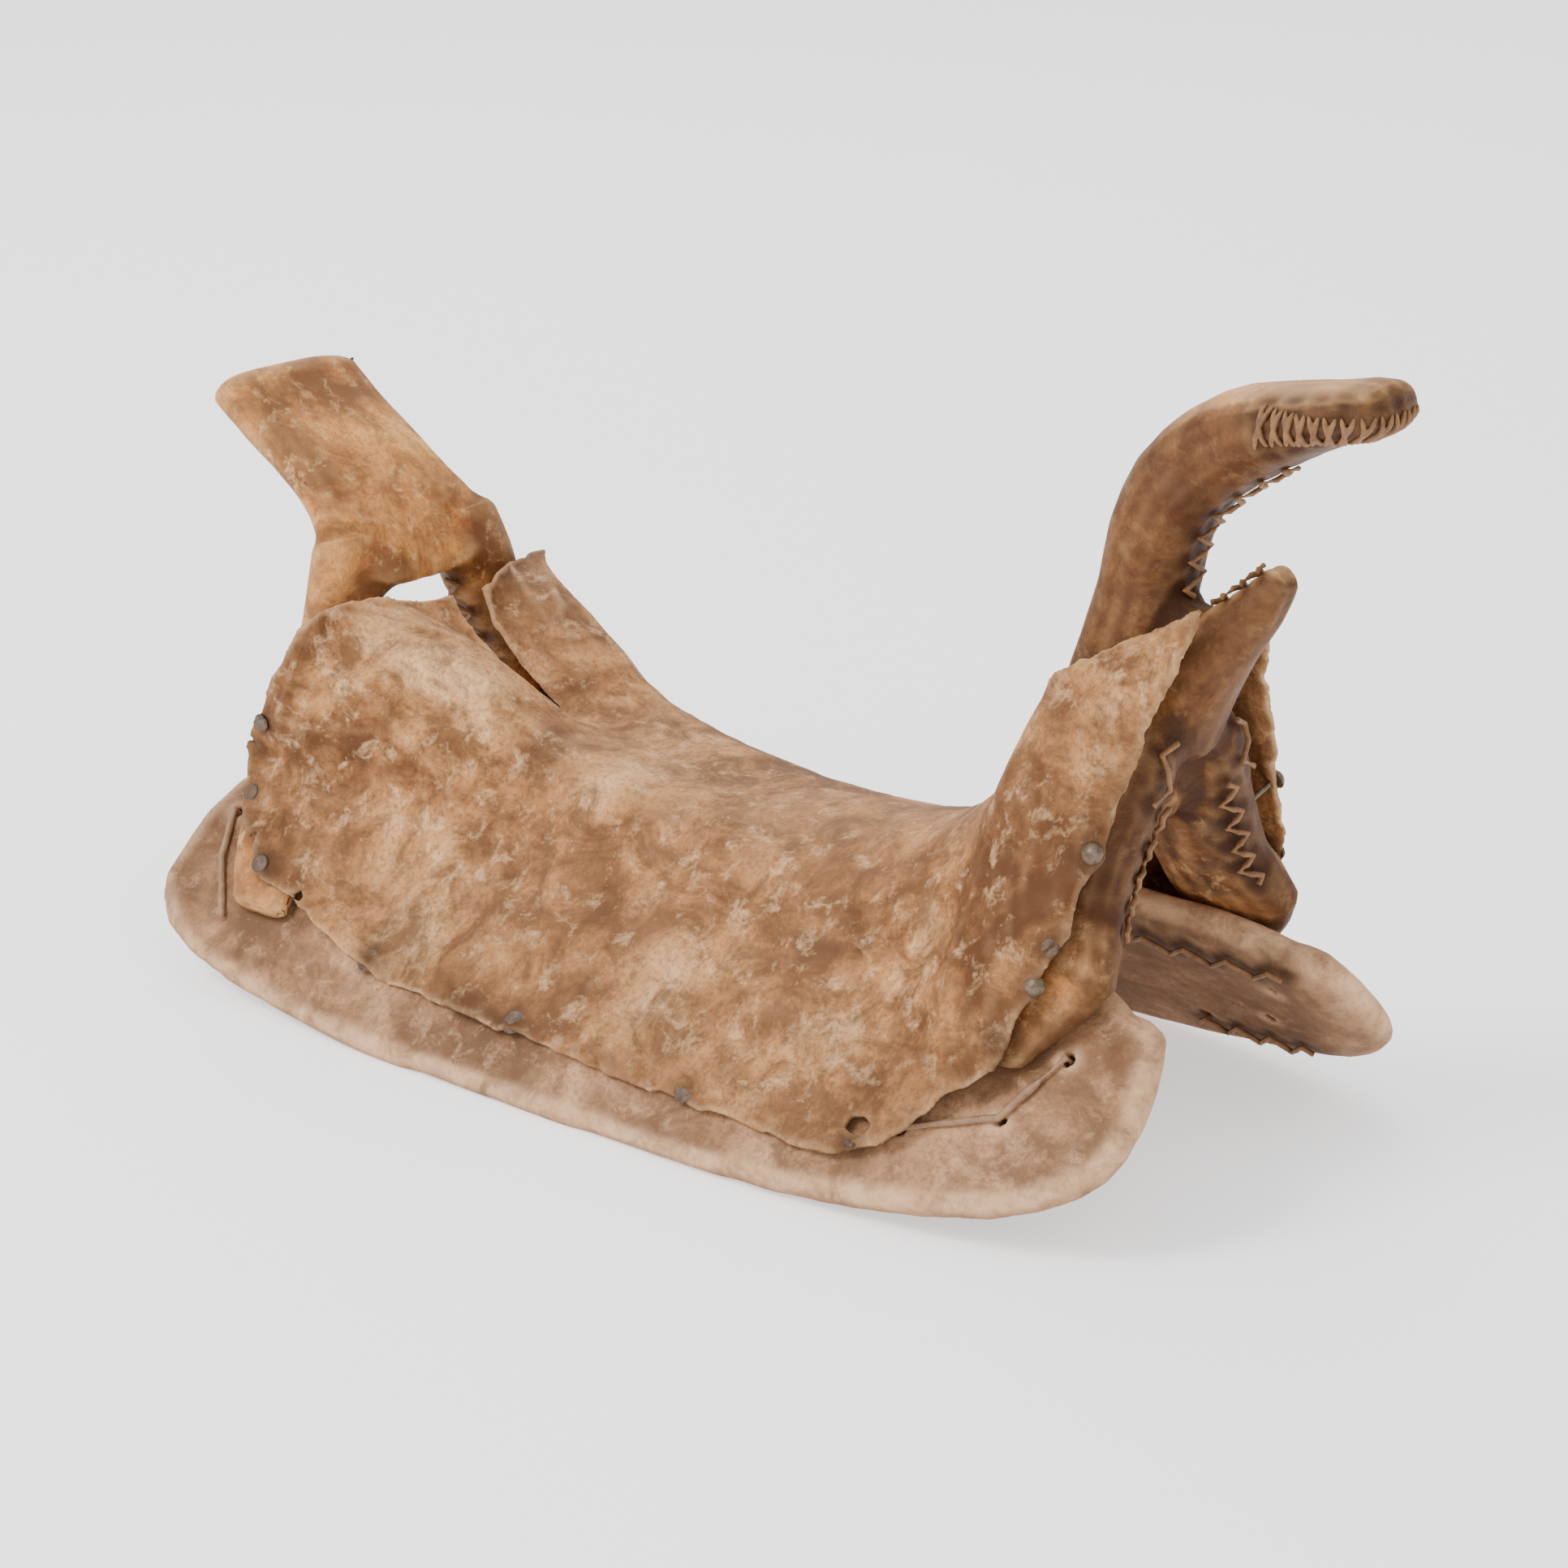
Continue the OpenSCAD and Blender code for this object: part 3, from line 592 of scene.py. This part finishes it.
def seat_folds(p, corner):
    """How far the seat leather is puckered outwards, in metres; most folds run from its rear top corner."""
    q = np.stack([p[:, 0] - corner[0], np.abs(p[:, 1]) + corner[1], p[:, 2] - corner[2]], 1)
    r = np.linalg.norm(q, axis=1)
    drop = np.hypot(q[:, 1], q[:, 2])
    turn = np.arctan2(drop, q[:, 0])
    off = np.abs(turn - 0.66) * r
    rise = 1.8 * np.exp(-off / (4 * MM)) * np.clip(r / 0.03, 0, 1) * np.clip((0.15 - r) / 0.06, 0, 1)
    fan = np.stack([turn * 0.16, r * 0.25, p[:, 1] * 0], 1)
    rise = rise + 1.1 * np.clip(bumps(fan, 18 * MM, 51), 0, 1) * np.exp(-r / 0.09)
    leg = np.stack([p[:, 0] - 0.207, np.abs(p[:, 1]) - 0.068, p[:, 2] - 0.125], 1)
    d = np.linalg.norm(leg, axis=1)
    pleats = np.stack([leg[:, 0] + 0.35 * leg[:, 2], 0 * d, 0.2 * leg[:, 2]], 1)
    rise = rise + 1.6 * bell(d, 0.055) * np.clip(bumps(pleats, 9 * MM, 52), 0, 1)
    rise = rise + 0.9 * (1 + bumps(p, 34 * MM, 53)) + 0.5 * (1 + bumps(p, 12 * MM, 54))
    rise = rise + 0.25 * (1 + bumps(p, 6 * MM, 55))
    return rise * MM


def seat_piece():
    points, tris = node_arrays("seat_leather")
    cloud = border_cloud(points, tris, SEAT_T)
    ob = new_object("seat_sheet", points, tris)
    near_side = points[points[:, 1] < -0.06]
    corner = near_side[np.argmax(near_side[:, 2] - near_side[:, 0])]
    tree = BVHTree.FromPolygons([tuple(q) for q in points], [tuple(int(i) for i in t) for t in tris])
    cut_out(ob, [
        prism("rear_tear", on_flap(tree, -0.293, 0.145), [(-3.5, -3), (3.5, -2), (-1, 5)]),
        prism("rear_slot", on_flap(tree, -0.353, 0.19), [(-1.5, -4), (1.6, -3.6), (1.2, 4), (-1.4, 3.6)]),
        prism("front_tear", on_flap(tree, 0.238, 0.1), [(-6, -3), (5, -4.5), (7, 1), (1, 4.5), (-5, 3)])])
    voxel(ob, SEAT_CELL)
    largest_part(ob)
    p, e = read_points(ob), edges_of(ob)
    p = relaxed(p, e, 8)
    d = near(p, cloud, 30 * MM)
    edge = bell(d, 5 * MM)
    ragged = np.stack([2.1 * bumps(p, 17 * MM, k) + 1.2 * bumps(p, 6 * MM, k + 5) for k in (41, 42, 43)], 1) * MM
    out = np.stack([np.zeros(len(p)), p[:, 1], p[:, 2] * 0.6], 1)
    out = out / np.maximum(np.linalg.norm(out, axis=1), 1e-6)[:, None]
    curl = 2.0 * MM * edge * np.clip(0.3 + bumps(p, 26 * MM, 47), 0, 1)
    p = p + ragged * edge[:, None] + out * (seat_folds(p, corner) * (1 - 0.4 * edge) + curl)[:, None]
    write_points(ob, p)
    cut = 0.6 * bell(d, 1.3 * MM) * np.clip(0.6 + bumps(p, 14 * MM, 48), 0, 1)
    return finish_piece(ob, "seat_leather", ["seat_leather"], 8, 0.4 * MM, rim=cut, shade=seat_painted_shade)


def tube(points, radius, sides=8):
    """A cord through the points, thinner at its ends."""
    rings, faces, m = [], [], len(points)
    for i, q in enumerate(points):
        t = (points[min(m - 1, i + 1)] - points[max(0, i - 1)]).normalized()
        u = t.cross(Vector((0.31, 0.87, 0.38))).normalized()
        v = t.cross(u)
        r = radius * min(1, 0.45 + 0.5 * min(i, m - 1 - i))
        rings += [q + r * (math.cos(a) * u + math.sin(a) * v) for a in np.arange(sides) * 2 * math.pi / sides]
    for i in range(m - 1):
        for k in range(sides):
            a, b = i * sides + k, i * sides + (k + 1) % sides
            faces.append((a, b, b + sides, a + sides))
    faces += [tuple(range(sides))[::-1], tuple(range((m - 1) * sides, m * sides))]
    return rings, faces


def fork_surface():
    me = fork.data
    return BVHTree.FromPolygons([tuple(v.co) for v in me.vertices], [tuple(f.vertices) for f in me.polygons])


def cap_stitches():
    """Braided whip stitches round the rim of the horn cap, from its underside over its edge to its top."""
    box = node_arrays("horn_cap_lacing")[0]
    hull = fork_surface()
    points, faces = [], []
    lo, hi = box.min(0), box.max(0)
    mid = Vector(((lo[0] + hi[0]) / 2 - 0.004, 0, (lo[2] + hi[2]) / 2))
    count = 19
    for i in range(count):
        a = math.radians(-128 + 256 * i / (count - 1))
        for lean in (-1, 1):
            path = []
            for k in np.linspace(-1, 0.3, 9):
                b = a + lean * (k + 0.35) * 0.13
                aim = Vector((math.cos(b), 1.15 * math.sin(b), 0.5 * k))
                hit = hull.ray_cast(mid + aim.normalized() * 0.08, -aim.normalized())
                if hit[0] is not None:
                    path.append(hit[0] + aim.normalized() * 0.0008)
            if len(path) == 9:
                ring, face = tube(path, 1.15 * MM)
                faces += [tuple(j + len(points) for j in f) for f in face]
                points += ring
    ob = new_object("horn_cap_lacing_cord", points, faces)
    voxel(ob, 0.5 * MM)
    p, e = read_points(ob), edges_of(ob)
    write_points(ob, relaxed(p, e, 3) + 0.2 * MM * np.stack([bumps(p, 4 * MM, k) for k in (71, 72, 73)], 1))
    finish_piece(ob, "lacing", ["horn_cap_lacing"], 4, 0.12 * MM, stain=False)


add_camera()
bars = [
    hide_piece(s + "_bar_hide", [s + "_bar_rawhide", s + "_bar"], "bar_rawhide", 1.9 * MM, 12, [(60, 1.1), (20, 0.5), (9, 0.2)],
               bar_painted_shade)
    for s in ("right", "left")]
fork = hide_piece("fork_hide", ["front_fork_rawhide", "front_fork"], "fork_rawhide", 1.6 * MM, 26,
                  [(45, 1.1), (14, 0.4)], dark_horn_and_painted_shade, 6 * MM)
cantle = hide_piece("cantle_hide", ["cantle_rawhide", "cantle"], "cantle_rawhide", 1.6 * MM, 24,
                    [(50, 1.1), (16, 0.4)], None, 9 * MM)
seat = seat_piece()
for n in LACES:
    if n == "horn_cap_lacing":
        continue
    small_piece(n + "_cord", n, "lacing", 0.55 * MM, 3, 0.25 * MM)
cap_stitches()
for n in THONGS:
    small_piece(n + "_strap", n, "thong", 0.6 * MM, 3, 0.2 * MM)
for n in NAILS:
    small_piece(n + "_worn", n, "tack_brass" if n == "dome_tacks" else "nail_iron", 0.45 * MM, 2)


# ---- stage ----
def add_floor():
    ob = new_object("floor", [(-14, -14, 0), (14, -14, 0), (14, 14, 0), (-14, 14, 0)], [(0, 1, 2, 3)])
    m = Nodes("floor_white")
    m.shader.inputs["Base Color"].default_value = (0.93, 0.93, 0.93, 1)
    m.shader.inputs["Roughness"].default_value = 0.9
    m.shader.inputs["Specular IOR Level"].default_value = 0.1
    m.shader.inputs["Emission Color"].default_value = (1, 1, 1, 1)
    m.shader.inputs["Emission Strength"].default_value = 0.8
    ob.data.materials.append(m.mat)


def add_light(name, place, size, power, colour=(1, 1, 1)):
    data = bpy.data.lights.new(name, "AREA")
    data.shape = "DISK"
    data.size = size
    data.energy = power
    data.color = colour
    ob = bpy.data.objects.new(name, data)
    bpy.context.scene.collection.objects.link(ob)
    ob.location = place
    ob.rotation_mode = "QUATERNION"
    ob.rotation_quaternion = (Vector(place) - Vector((0, 0, 0.12))).to_track_quat("Z", "Y")


add_floor()
world = bpy.data.worlds.new("studio")
world.use_nodes = True
world.node_tree.nodes["Background"].inputs["Color"].default_value = (1, 1, 1, 1)
world.node_tree.nodes["Background"].inputs["Strength"].default_value = 1.15
bpy.context.scene.world = world
add_light("key", (-0.9, -2.0, 2.3), 1.4, 75)
add_light("fill", (2.2, -1.6, 1.4), 1.6, 10)
add_light("rim", (-1.8, 1.6, 2.0), 1.4, 18)
